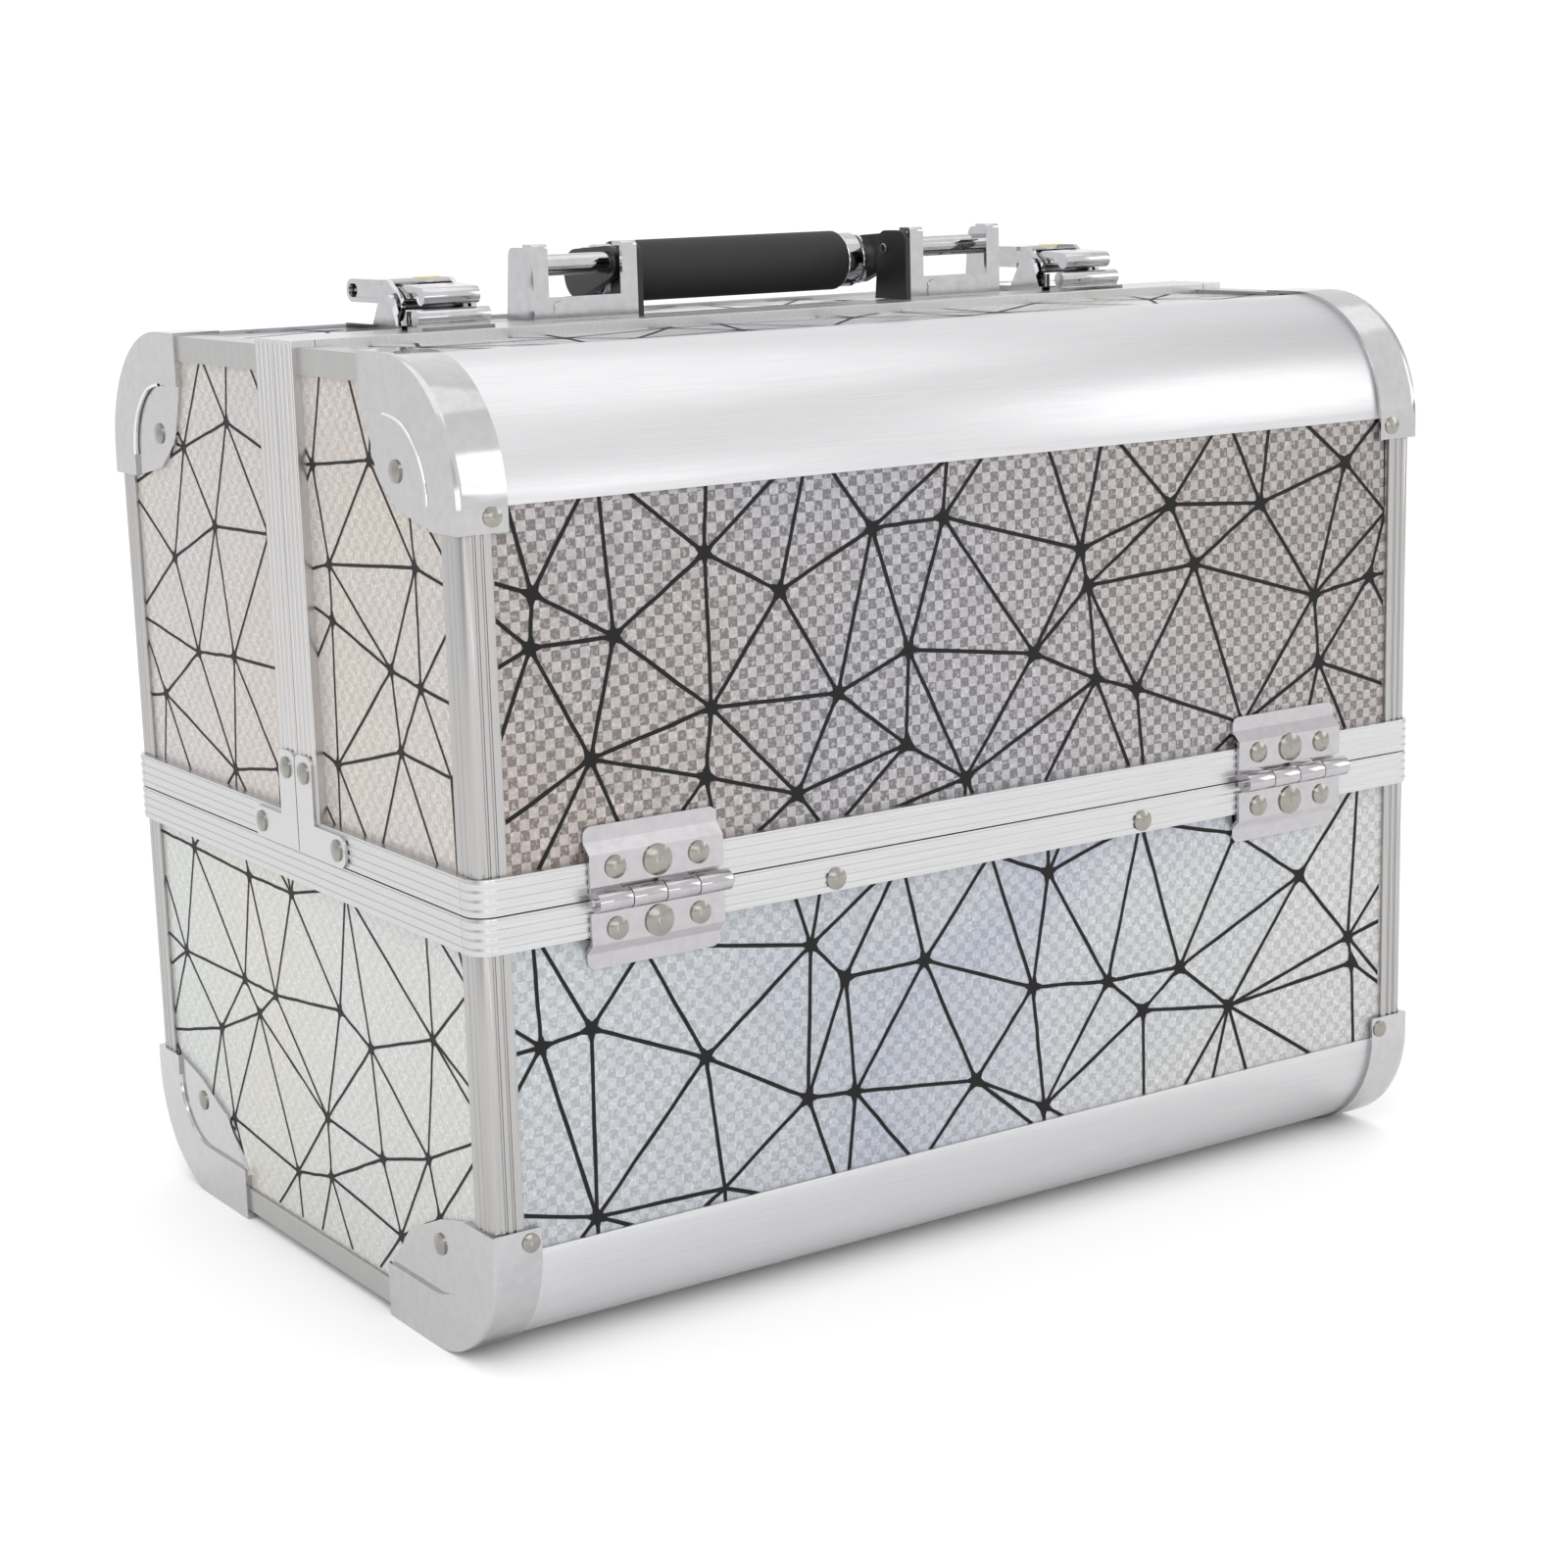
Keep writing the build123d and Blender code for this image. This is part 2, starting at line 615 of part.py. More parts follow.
# ---- trays and their arms ----------------------------------------------------------------
def build_tray(side, level, offset):
    """One moulded tray with fixed partitions, hung on two pivots at each end."""
    pivot_y, pivot_z = pivot_place(side, offset)
    upper_y = pivot_place(side, upper_pivot)[0]
    outer_y = upper_y + side * tray_outer_reach
    inner_y = seam_y + side * (seam_gap / 2 + tray_seam_gap)
    low = pivot_z - tray_below_pivot
    high = pivot_z + tray_above_pivot
    with BuildPart() as tray:
        slab((-tray_half, tray_half), (outer_y, inner_y), (low, high))
        fillet(edges().filter_by(Axis.Z), 4)
        fillet(faces().sort_by(Axis.Z)[0].edges(), 2)
        cells = tray_partitions + 1
        room = 2 * tray_half - tray_wall * (cells + 1)
        cell = room / cells
        walls = (outer_y - side * tray_wall, inner_y + side * tray_wall)
        for number in range(cells):
            start = -tray_half + tray_wall + number * (cell + tray_wall)
            with BuildSketch(Plane.XY.offset(low + tray_wall)) as outline:
                with Locations((start + cell / 2, sum(walls) / 2)):
                    RectangleRounded(cell, abs(walls[1] - walls[0]), 2.5)
            extrude(outline.sketch, amount=high - low, mode=Mode.SUBTRACT)
        hole = tray_pin_radius + tray_pin_clearance
        for shift in ((0, 0), arm_offset):
            y = pivot_y - side * shift[0]
            z = pivot_z + shift[1]
            for end in (-1, 1):
                reach = (end * (tray_half + 1), end * (tray_half - tray_wall - 1))
                rod_x(reach, y, z, hole, Mode.SUBTRACT)
    save(tray, f"{SIDE_NAME[side]}_{level}_tray")


def build_arms(side):
    """The straight arms that keep one lid's trays level, and their rivets."""
    start = pivot_place(side, arm_offset)
    places = []
    for offset in (lower_pivot, upper_pivot):
        y, z = pivot_place(side, offset)
        places.append((y - side * arm_offset[0], z + arm_offset[1]))
    length = math.dist(start, places[-1])
    middle = ((start[0] + places[-1][0]) / 2, (start[1] + places[-1][1]) / 2)
    angle = math.degrees(math.atan2(places[-1][1] - start[1], places[-1][0] - start[0]))
    hole = tray_pin_radius + tray_pin_clearance
    with BuildPart() as arms:
        for end in (-1, 1):
            near = min(end * arm_inner_x, end * arm_outer_x)
            with BuildSketch(Plane.YZ.offset(near)) as outline:
                with Locations(Location(middle, angle)):
                    SlotCenterToCenter(length, 2 * arm_half_width)
                with Locations(start):
                    Circle(hole, mode=Mode.SUBTRACT)
                with Locations(*places):
                    Circle(tray_pin_radius, mode=Mode.SUBTRACT)
            extrude(outline.sketch, amount=arm_sheet)
    save(arms, f"{SIDE_NAME[side]}_tray_arms")
    with BuildPart() as arm_rivets:
        head = tray_pin_head_height
        out = arm_gap
        past = tray_length_gap + tray_wall + 0.4
        face = tray_length_gap - 0.4
        stages = ((out - 1.0, out, tray_pin_head), (out, face, tray_pin_radius))
        stages += ((arm_gap + arm_sheet, face, 4.0), (face, past, tray_pin_radius))
        stages += ((past, past + head, tray_pin_head),)
        for y, z in places:
            for end in (-1, 1):
                pin_stack(end, y, z, stages)
    save(arm_rivets, f"{SIDE_NAME[side]}_arm_rivets")


for side in (FRONT, REAR):
    build_lid(side)
    build_tray(side, "lower", lower_pivot)
    build_tray(side, "upper", upper_pivot)
    build_arms(side)

# ---- the handle and its brackets ---------------------------------------------------------
bracket_front = seam_y + seam_gap / 2 + 0.4
bracket_low = rail_top
bracket_high = rail_top + bracket_height
inner_cheek_x = bracket_x - bracket_width / 2 - 1
plate_start = inner_cheek_x + cheek_sheet
plate_end = bracket_x + bracket_width / 2 - 1


def side_plate(x_start, thickness, rounding):
    """A bracket's side: upright front, round top and a sloping back."""
    back = bracket_front + bracket_depth
    high = bracket_high - 1
    crown = handle_pivot_y + 3
    with BuildSketch(Plane.YZ.offset(x_start)) as outline:
        with BuildLine():
            Polyline(
                (bracket_front, bracket_low),
                (bracket_front, high),
                (crown, high),
                (back, bracket_low),
                close=True,
            )
        make_face()
        top_corners = vertices().sort_by(Axis.Y)[-2:]
        fillet(top_corners, rounding)
    extrude(outline.sketch, amount=thickness)


with BuildPart() as handle_brackets:
    for end in (-1, 1):
        sides = (end * plate_start, end * plate_end)
        front = (bracket_front, bracket_front + bracket_sheet)
        slab(sides, front, (bracket_low, bracket_high))
        over = (bracket_front, bracket_front + bracket_top_depth)
        slab(sides, over, (bracket_high - bracket_sheet, bracket_high))
        corner = edges().filter_by(Axis.X).sort_by_distance((end * bracket_x, bracket_front, bracket_high))[0]
        fillet(corner, bracket_sheet * 0.9)
        window = (end * (plate_start + bracket_margin), end * (plate_end - bracket_margin))
        opening = (bracket_low + window_low, bracket_high + 1)
        slab(window, (bracket_front - 1, over[1] + 1), opening, Mode.SUBTRACT)
        badge_x = end * (plate_start + plate_end) / 2
        badge = (badge_x - badge_width / 2, badge_x + badge_width / 2)
        badge_y = (bracket_front - badge_proud, bracket_front)
        slab(badge, badge_y, (bracket_low + 0.8, bracket_low + window_low - 1))
        badge_edges = edges().filter_by(Axis.Y).filter_by(lambda edge: edge.length < badge_proud + 0.01)
        badge_top = badge_edges.group_by(Axis.Z)[-1]
        fillet(badge_top.filter_by(lambda edge: edge.center().X * end > 0), 3)
        side_plate(min(end * plate_end, end * (plate_end - bracket_sheet)), bracket_sheet, 3)
save(handle_brackets, "handle_brackets")

with BuildPart() as handle_cheeks:
    for end in (-1, 1):
        side_plate(min(end * inner_cheek_x, end * plate_start), cheek_sheet, 4)
save(handle_cheeks, "handle_cheeks")

with BuildPart() as handle_rods:
    for end in (-1, 1):
        reach = (end * plate_start, end * (plate_end - bracket_sheet))
        rod_x(reach, handle_pivot_y, handle_pivot_z, rod_radius)
save(handle_rods, "handle_rods")

grip_y = handle_pivot_y + grip_back
grip_z = handle_pivot_z - grip_drop
grip_half = grip_length / 2
arm_start = plate_start + 0.6

with BuildPart() as handle_grip:
    rod_x((-grip_half, grip_half), grip_y, grip_z, grip_radius)
    fillet(edges().filter_by(GeomType.CIRCLE), 1.5)
save(handle_grip, "handle_grip")

with BuildPart() as handle_collars:
    for end in (-1, 1):
        rod_x((end * grip_half, end * (grip_half + collar_length)), grip_y, grip_z, collar_radius)
        neck_end = grip_half + collar_length + 1.4
        rod_x((end * (grip_half + collar_length), end * neck_end), grip_y, grip_z, collar_radius - 2)
        rod_x((end * neck_end, end * arm_start), grip_y, grip_z, collar_radius - 0.8)
    rims = edges().filter_by(GeomType.CIRCLE).filter_by(lambda edge: edge.radius > collar_radius - 0.1)
    fillet(rims, 0.7)
save(handle_collars, "handle_collars")

with BuildPart() as handle_arms:
    pivot = (handle_pivot_y, handle_pivot_z)
    grip_end = (grip_y, grip_z)
    for end in (-1, 1):
        near = min(end * arm_start, end * (arm_start + handle_arm_sheet))
        with BuildSketch(Plane.YZ.offset(near)):
            with Locations(pivot):
                Circle(arm_eye)
            with Locations(grip_end):
                Circle(arm_root)
            make_hull()
            with Locations(pivot):
                Circle(rod_radius + tray_pin_clearance, mode=Mode.SUBTRACT)
        extrude(amount=handle_arm_sheet)
save(handle_arms, "handle_arms")

# ---- the latches -------------------------------------------------------------------------
with BuildPart() as latch_bases:
    rail_back = seam_y + seam_gap / 2 + seam_bar
    plate_front = seam_y + seam_gap / 2 + 0.4
    plate_back = seam_y + latch_back
    plate_high = rail_top + latch_plate
    for end in (-1, 1):
        across = (end * latch_x - latch_width / 2, end * latch_x + latch_width / 2)
        slab(across, (plate_front, plate_back), (rail_top, plate_high))
        slab(across, (rail_back + 0.2, plate_back), (top_face, rail_top))
        for ear in (-1, 1):
            ear_out = end * latch_x + ear * latch_width / 2
            ear_x = min(ear_out, ear_out - ear * latch_ear)
            with BuildSketch(Plane.YZ.offset(ear_x)):
                with BuildLine():
                    Polyline(
                        (latch_pivot_y - 7, plate_high),
                        (latch_pivot_y - 3, latch_pivot_z + 4),
                        (latch_pivot_y + 3, latch_pivot_z + 4),
                        (latch_pivot_y + 9, plate_high),
                        close=True,
                    )
                make_face()
                fillet(vertices().sort_by(Axis.Y)[-2:], 2.4)
            extrude(amount=latch_ear)
save(latch_bases, "latch_bases")

with BuildPart() as latch_pins:
    for end in (-1, 1):
        half = latch_width / 2 - latch_ear
        centre_x = end * latch_x
        rod_x((centre_x - half, centre_x + half), latch_pivot_y, latch_pivot_z, latch_pin_radius)
save(latch_pins, "latch_pins")

with BuildPart() as lock_cylinders:
    for end in (-1, 1):
        with Locations((end * latch_x, latch_pivot_y + 10.5, rail_top + latch_plate)):
            Cylinder(3.6, 3.4, align=LOW_ALIGN)
        slot_z = (rail_top + latch_plate + 2.6, rail_top + latch_plate + 3.4)
        slot_y = (latch_pivot_y + 8.5, latch_pivot_y + 12.5)
        slab((end * latch_x - 0.5, end * latch_x + 0.5), slot_y, slot_z, Mode.SUBTRACT)
save(lock_cylinders, "lock_cylinders")

with BuildPart() as latch_keepers:
    for end in (-1, 1):
        with BuildSketch(Plane.YZ.offset(end * latch_x - latch_width / 2 + 2)):
            with Locations((keeper_bead_y, rail_top + keeper_bead_rise)):
                Circle(keeper_bead_radius)
            with Locations((keeper_bead_y, rail_top + keeper_bead_rise / 2)):
                Rectangle(keeper_bead_radius * 1.2, keeper_bead_rise)
            plate_y = (seam_y - 1.4, keeper_bead_y - 4.5)
            with Locations((sum(plate_y) / 2, rail_top + keeper_sheet / 2)):
                Rectangle(plate_y[0] - plate_y[1], keeper_sheet)
        extrude(amount=latch_width - 4)
save(latch_keepers, "latch_keepers")


def build_latch(end, name):
    """The lever and the hook of one latch."""
    centre_x = end * latch_x
    lever_half = latch_width / 2 - latch_ear - 0.3
    cheek_half = lever_half - lever_inset
    hook_half = cheek_half - lever_cheek - 0.3
    tip_y = latch_pivot_y + lever_reach
    tip_z = latch_pivot_z + lever_top - lever_tip_radius
    curl = lever_tip_radius - lever_sheet
    start_y = latch_pivot_y + lever_start
    with BuildPart() as lever:
        for cheek in (-1, 1):
            cheek_out = centre_x + cheek * cheek_half
            with BuildSketch(Plane.YZ.offset(min(cheek_out, cheek_out - cheek * lever_cheek))) as outline:
                with Locations((latch_pivot_y, latch_pivot_z)):
                    Circle(lever_round)
                with BuildLine():
                    Polyline(
                        (latch_pivot_y - 2, latch_pivot_z + lever_round - 0.7),
                        (start_y - 4, latch_pivot_z + lever_top),
                        (tip_y, tip_z + lever_tip_radius),
                        (tip_y, tip_z - lever_tip_radius),
                        (start_y + 2, tip_z - lever_tip_radius),
                        (latch_pivot_y + 3, latch_pivot_z - 3.4),
                        close=True,
                    )
                make_face()
                with Locations((tip_y, tip_z)):
                    Circle(curl, mode=Mode.SUBTRACT)
            extrude(outline.sketch, amount=lever_cheek)
        with BuildSketch(Plane.YZ.offset(centre_x - lever_half)) as outline:
            with Locations((tip_y, tip_z)):
                Circle(lever_tip_radius)
            with Locations(((start_y + tip_y) / 2, tip_z)):
                Rectangle(tip_y - start_y, 2 * lever_tip_radius)
            with Locations((tip_y, tip_z)):
                Circle(curl, mode=Mode.SUBTRACT)
            with Locations(((start_y + tip_y) / 2 - 1, tip_z)):
                Rectangle(tip_y - start_y + 2, 2 * curl, mode=Mode.SUBTRACT)
        extrude(outline.sketch, amount=2 * lever_half)
        reach = (centre_x - latch_width, centre_x + latch_width)
        rod_x(reach, latch_pivot_y, latch_pivot_z, latch_pin_radius + pin_clearance, Mode.SUBTRACT)
        inner = cheek_half - lever_cheek
        rod_x((centre_x - inner - 0.6, centre_x + inner + 0.6), hook_pivot_y, hook_pivot_z, hook_pin_radius)
    save(lever, f"{name}_latch_lever")

    bead_z = rail_top + hook_bead_rise
    bar_low = latch_pivot_z + latch_pin_radius + 0.9
    with BuildPart() as hook:
        with BuildSketch(Plane.YZ.offset(centre_x - hook_half)) as outline:
            with Locations((hook_pivot_y, hook_pivot_z)):
                Circle(hook_eye)
            with Locations((hook_bead_y, bead_z)):
                Circle(hook_bead_radius)
            with BuildLine():
                Polyline(
                    (hook_pivot_y + 1.6, hook_pivot_z + 0.8),
                    (hook_pivot_y - 1.6, hook_pivot_z + 0.8),
                    (latch_pivot_y, bar_low),
                    (hook_bead_y, bar_low + 0.6),
                    (hook_bead_y, bead_z + hook_bead_radius),
                    (hook_pivot_y - 7, bead_z + hook_bead_radius + 0.6),
                    close=True,
                )
            make_face()
            with Locations((hook_pivot_y, hook_pivot_z)):
                Circle(hook_pin_radius + pin_clearance, mode=Mode.SUBTRACT)
        extrude(outline.sketch, amount=2 * hook_half)
    save(hook, f"{name}_latch_hook")


build_latch(-1, "left")
build_latch(1, "right")
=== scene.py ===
import math
import random

import bmesh
import bpy
from mathutils import Matrix, Vector, noise
from mathutils.geometry import delaunay_2d_cdt


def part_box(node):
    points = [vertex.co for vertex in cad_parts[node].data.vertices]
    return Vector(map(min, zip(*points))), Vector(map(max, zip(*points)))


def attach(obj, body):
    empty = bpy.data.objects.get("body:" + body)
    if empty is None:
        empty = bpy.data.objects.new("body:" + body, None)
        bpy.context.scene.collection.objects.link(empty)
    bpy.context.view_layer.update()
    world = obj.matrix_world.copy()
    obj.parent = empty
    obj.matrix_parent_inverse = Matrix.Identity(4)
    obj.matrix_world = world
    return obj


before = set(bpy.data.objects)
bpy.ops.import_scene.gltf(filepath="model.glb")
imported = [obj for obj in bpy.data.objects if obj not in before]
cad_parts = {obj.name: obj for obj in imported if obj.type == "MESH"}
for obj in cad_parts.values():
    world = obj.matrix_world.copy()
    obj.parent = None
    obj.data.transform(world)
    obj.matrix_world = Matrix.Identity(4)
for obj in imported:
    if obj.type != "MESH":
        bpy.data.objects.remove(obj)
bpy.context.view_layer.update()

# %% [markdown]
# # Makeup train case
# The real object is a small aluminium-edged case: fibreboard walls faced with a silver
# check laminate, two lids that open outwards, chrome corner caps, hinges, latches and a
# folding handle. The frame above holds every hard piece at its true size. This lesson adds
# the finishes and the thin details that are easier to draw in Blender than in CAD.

MM = 0.001


def size_of(node):
    """The lowest and highest corner of a CAD node, as vectors in metres."""
    low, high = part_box(node)
    return Vector(low), Vector(high)


rim_high = size_of("base_rim")[1]
front_low, front_high = size_of("front_lid_panel")
rear_high = size_of("rear_lid_panel")[1]
end_low, end_high = size_of("base_end_panels")
panel_front = front_low.y
panel_rear = rear_high.y
panel_end = end_high.x
belt = rim_high.z
print("long panels at", panel_front, panel_rear, "ends at", panel_end, "belt", belt)

# %% [markdown]
# ## Camera
# A moderate telephoto lens from the front left, a little above the lid. A camera looks
# along its own -Z, so a quaternion that tracks the aim point sets it, and a small roll about
# that axis levels the picture the way a hand-held shot sits.

# %% Camera
camera_data = bpy.data.cameras.new("camera")
camera_data.sensor_width = 36.0
camera_data.lens = 68.9
camera = bpy.data.objects.new("camera", camera_data)
bpy.context.scene.collection.objects.link(camera)
camera.location = (-0.5565, -0.8413, 0.3460)
aim = Vector((0.0005, -0.0048, 0.1324))
roll = math.radians(-1.57)
turn = (aim - camera.location).to_track_quat("-Z", "Y")
camera.rotation_mode = "QUATERNION"
camera.rotation_quaternion = turn @ Matrix.Rotation(roll, 4, "Z").to_quaternion()
bpy.context.scene.camera = camera
# A product shot on white: plain display values, so that white paper stays white.
bpy.context.scene.view_settings.view_transform = "Standard"
print("camera", tuple(camera.location), "lens", camera_data.lens)

# %% [markdown]
# ## Floor and light
# A pale floor that fades into a pale sky, one large soft light high on the left, a long one
# over the top for the curved profiles and a weak one from the right. Polished metal shows
# its surroundings, so the sky is lighter above and darker in three sectors: without
# some dark to reflect, chrome looks like white paint.


# %% Colour and node helpers
def srgb(code):
    """A hex colour as the linear values that shaders use."""
    parts = [int(code[i:i + 2], 16) / 255 for i in (0, 2, 4)]
    line = [c / 12.92 if c <= 0.04045 else ((c + 0.055) / 1.055) ** 2.4 for c in parts]
    return (*line, 1.0)


def add(tree, kind, links=None, **settings):
    """Adds a node: settings are its properties or socket values, links feed its sockets."""
    node = tree.nodes.new(kind)
    for name, value in settings.items():
        if hasattr(node, name):
            setattr(node, name, value)
    for name, value in (links or {}).items():
        socket = node.inputs[name]
        if isinstance(value, bpy.types.NodeSocket):
            tree.links.new(value, socket)
        else:
            socket.default_value = value
    return node


# %% Sky
world = bpy.data.worlds.new("studio")
bpy.context.scene.world = world
world.use_nodes = True
sky = world.node_tree
sky.nodes.clear()
direction = add(sky, "ShaderNodeTexCoord").outputs["Generated"]
split = add(sky, "ShaderNodeSeparateXYZ", {"Vector": direction})
sector = add(sky, "ShaderNodeTexGradient", {"Vector": direction}, gradient_type="RADIAL")
ramp = add(sky, "ShaderNodeValToRGB", {"Fac": sector.outputs["Fac"]})
stops = ramp.color_ramp.elements
stops[0].position = 0.0
stops[0].color = srgb("e2e2e6")
stops[1].position = 1.0
stops[1].color = srgb("e2e2e6")
for place, shade in ((0.07, "524d54"), (0.14, "f4f4f6"), (0.21, "ffffff"), (0.24, "5e565e"), (0.27, "ffffff"),
                     (0.44, "f8f8f8"), (0.52, "5c565e"), (0.58, "f2f2f4"), (0.75, "ffffff"), (0.9, "ececee")):
    stop = stops.new(place)
    stop.color = srgb(shade)
height = add(sky, "ShaderNodeMapRange", {"Value": split.outputs["Z"], "From Min": -0.1, "From Max": 0.9})
mixed = add(sky, "ShaderNodeMix", {"Factor": height.outputs["Result"]}, data_type="RGBA")
sky.links.new(ramp.outputs["Color"], mixed.inputs[6])
mixed.inputs[7].default_value = srgb("ffffff")
light = add(sky, "ShaderNodeBackground", {"Color": mixed.outputs[2], "Strength": 1.15})
add(sky, "ShaderNodeOutputWorld", {"Surface": light.outputs["Background"]})


# %% Lamps and floor
def softbox(name, place, target, power, width, depth):
    """A rectangular area light that faces a point."""
    data = bpy.data.lights.new(name, "AREA")
    data.shape = "RECTANGLE"
    data.size = width
    data.size_y = depth
    data.energy = power
    lamp = bpy.data.objects.new(name, data)
    lamp.location = place
    lamp.rotation_mode = "QUATERNION"
    lamp.rotation_quaternion = (Vector(target) - Vector(place)).to_track_quat("-Z", "Y")
    bpy.context.scene.collection.objects.link(lamp)
    return lamp


middle = (0, 0, 0.15)
softbox("key", (-0.9, -1.1, 1.3), middle, 7.0, 1.2, 0.9)
softbox("over", (0.1, 0.1, 1.5), middle, 3.0, 1.8, 1.2)
softbox("fill", (1.4, -0.9, 0.7), middle, 2.5, 0.8, 0.8)
softbox("low_front", (-0.2, -1.6, 0.35), middle, 2.0, 1.6, 0.3)

bpy.ops.object.select_all(action="DESELECT")
bpy.ops.mesh.primitive_plane_add(size=8, location=(0, 0, -0.0002))
floor = bpy.context.object
floor.name = "floor"
pale = bpy.data.materials.new("pale matt paint")
pale.use_nodes = True
pale.node_tree.nodes["Principled BSDF"].inputs["Base Color"].default_value = srgb("fbfbfb")
pale.node_tree.nodes["Principled BSDF"].inputs["Roughness"].default_value = 0.9
floor.data.materials.append(pale)
print("lamps and floor are set")

# %% [markdown]
# ## Finishes
# Each finish is one Principled shader. Patterns read Object coordinates, which are metres
# here, so a scale of 1000 / (size in mm) gives one repeat for each size.


# %% A blank finish
def finish_named(name, colour, metallic, roughness):
    """A material with one Principled shader; returns it, its tree, shader and coordinates."""
    material = bpy.data.materials.new(name)
    material.use_nodes = True
    tree = material.node_tree
    shader = tree.nodes["Principled BSDF"]
    shader.inputs["Base Color"].default_value = srgb(colour)
    shader.inputs["Metallic"].default_value = metallic
    shader.inputs["Roughness"].default_value = roughness
    place = add(tree, "ShaderNodeTexCoord").outputs["Object"]
    return material, tree, shader, place


def mix_colour(tree, factor, first, second, blend="MIX"):
    """Mixes two colours, either hex codes or sockets."""
    node = add(tree, "ShaderNodeMix", data_type="RGBA", blend_type=blend)
    for index, value in ((0, factor), (6, first), (7, second)):
        if isinstance(value, bpy.types.NodeSocket):
            tree.links.new(value, node.inputs[index])
        else:
            node.inputs[index].default_value = srgb(value) if isinstance(value, str) else value
    return node.outputs[2]


def rough_from(tree, shader, socket, low, high):
    """Spreads a 0 to 1 pattern over a range of roughness."""
    spread = add(tree, "ShaderNodeMapRange", {"Value": socket, "To Min": low, "To Max": high})
    tree.links.new(spread.outputs["Result"], shader.inputs["Roughness"])


def bump_from(tree, shader, socket, depth, strength=1.0):
    """Raises the surface by a pattern, depth in metres."""
    bump = add(tree, "ShaderNodeBump", {"Height": socket, "Distance": depth, "Strength": strength})
    tree.links.new(bump.outputs["Normal"], shader.inputs["Normal"])


# %% [markdown]
# ### Laminate
# A PVC sheet with a holographic foil behind it. The foil is embossed in a check of 3.1 mm
# squares: every other square throws the light another way, so one set looks pale and the
# other mauve grey, and these two tones are painted reflections. A slow shift of pink and
# blue runs over both: it is the foil's iridescent sheen, a painted reflection, and fine
# white specks on it are painted glints. The sheet's gloss is a clear coat. Inside the case
# the board has a plain black lining, so the colour changes at the middle of the board's
# thickness.


# %% Laminate
check_square = 3.1 * MM


def laminate(name, flat_axes, skin, squares, slope, span, tints):
    """Check laminate on a board: its outer half is foil, the rest is lining.

    skin is the axis across the board and the distance where the foil begins, squares the
    two colours of the check, painted reflections of the two sets of squares, slope a
    direction whose dot product with a place runs over the span from one corner of the panel
    to the other, and tints the colours of the foil's painted sheen.
    """
    skin_axis, skin_middle = skin
    material, tree, shader, place = finish_named(name, squares[0], 0.2, 0.3)
    keep = [1.0 if axis in flat_axes else 0.0 for axis in "XYZ"]
    flat = add(tree, "ShaderNodeMapping", {"Vector": place, "Scale": keep})
    flat.inputs["Location"].default_value = [0.5 * MM * k + (0.0 if k else 0.0001) for k in keep]
    spot = flat.outputs["Vector"]
    check = add(tree, "ShaderNodeTexChecker", {"Vector": spot, "Scale": 1 / check_square})
    check.inputs["Color1"].default_value = (1, 1, 1, 1)
    check.inputs["Color2"].default_value = (0, 0, 0, 1)
    fine = add(tree, "ShaderNodeTexNoise", {"Vector": spot, "Scale": 900.0, "Detail": 2.0})
    patchy = add(tree, "ShaderNodeTexNoise", {"Vector": spot, "Scale": 150.0, "Detail": 2.0})
    slow = add(tree, "ShaderNodeTexNoise", {"Vector": spot, "Scale": 12.0, "Detail": 1.0})
    along = add(tree, "ShaderNodeVectorMath", {0: place, 1: slope}, operation="DOT_PRODUCT").outputs["Value"]
    wander = add(tree, "ShaderNodeMath", {0: slow.outputs["Fac"], 1: 0.5, 2: along}, operation="MULTIPLY_ADD")
    run = add(tree, "ShaderNodeMapRange", {"Value": wander.outputs[0], "From Min": span[0],
                                           "From Max": span[1]})
    # Painted sheen: this ramp colours the foil with its iridescent reflection, shifting across the panel.
    painted_sheen = add(tree, "ShaderNodeValToRGB", {"Fac": run.outputs["Result"]})
    marks = painted_sheen.color_ramp.elements
    for index, tint in enumerate(tints):
        mark = marks[index] if index < 2 else marks.new(1.0)
        mark.position = index / (len(tints) - 1)
        mark.color = srgb(tint)
    foil = mix_colour(tree, check.outputs["Fac"], squares[1], squares[0])
    # Painted glints: where the fine noise is high, specks of the foil are lifted towards white.
    glint = add(tree, "ShaderNodeMapRange", {"Value": fine.outputs["Fac"], "From Min": 0.5,
                                             "From Max": 0.75, "To Min": 0.0, "To Max": 0.55})
    foil = mix_colour(tree, glint.outputs["Result"], foil, "ffffff")
    cloud = add(tree, "ShaderNodeMapRange", {"Value": patchy.outputs["Fac"], "From Min": 0.35,
                                             "From Max": 0.7, "To Min": 0.0, "To Max": 0.3})
    foil = mix_colour(tree, cloud.outputs["Result"], foil, squares[1])
    foil = mix_colour(tree, 1.0, foil, painted_sheen.outputs["Color"], "MULTIPLY")
    across = add(tree, "ShaderNodeSeparateXYZ", {"Vector": place}).outputs[skin_axis]
    depth = add(tree, "ShaderNodeMath", {0: across}, operation="ABSOLUTE").outputs[0]
    outside = add(tree, "ShaderNodeMath", {0: depth, 1: skin_middle}, operation="GREATER_THAN").outputs[0]
    tree.links.new(mix_colour(tree, outside, "0d0d0e", foil), shader.inputs["Base Color"])
    metal = add(tree, "ShaderNodeMath", {0: outside, 1: 0.2}, operation="MULTIPLY")
    tree.links.new(metal.outputs[0], shader.inputs["Metallic"])
    relief = add(tree, "ShaderNodeMath", {0: check.outputs["Fac"], 1: fine.outputs["Fac"]}, operation="ADD")
    bump_from(tree, shader, relief.outputs[0], 0.03 * MM, 0.4)
    shader.inputs["Coat Weight"].default_value = 0.5
    shader.inputs["Coat Roughness"].default_value = 0.08
    return material


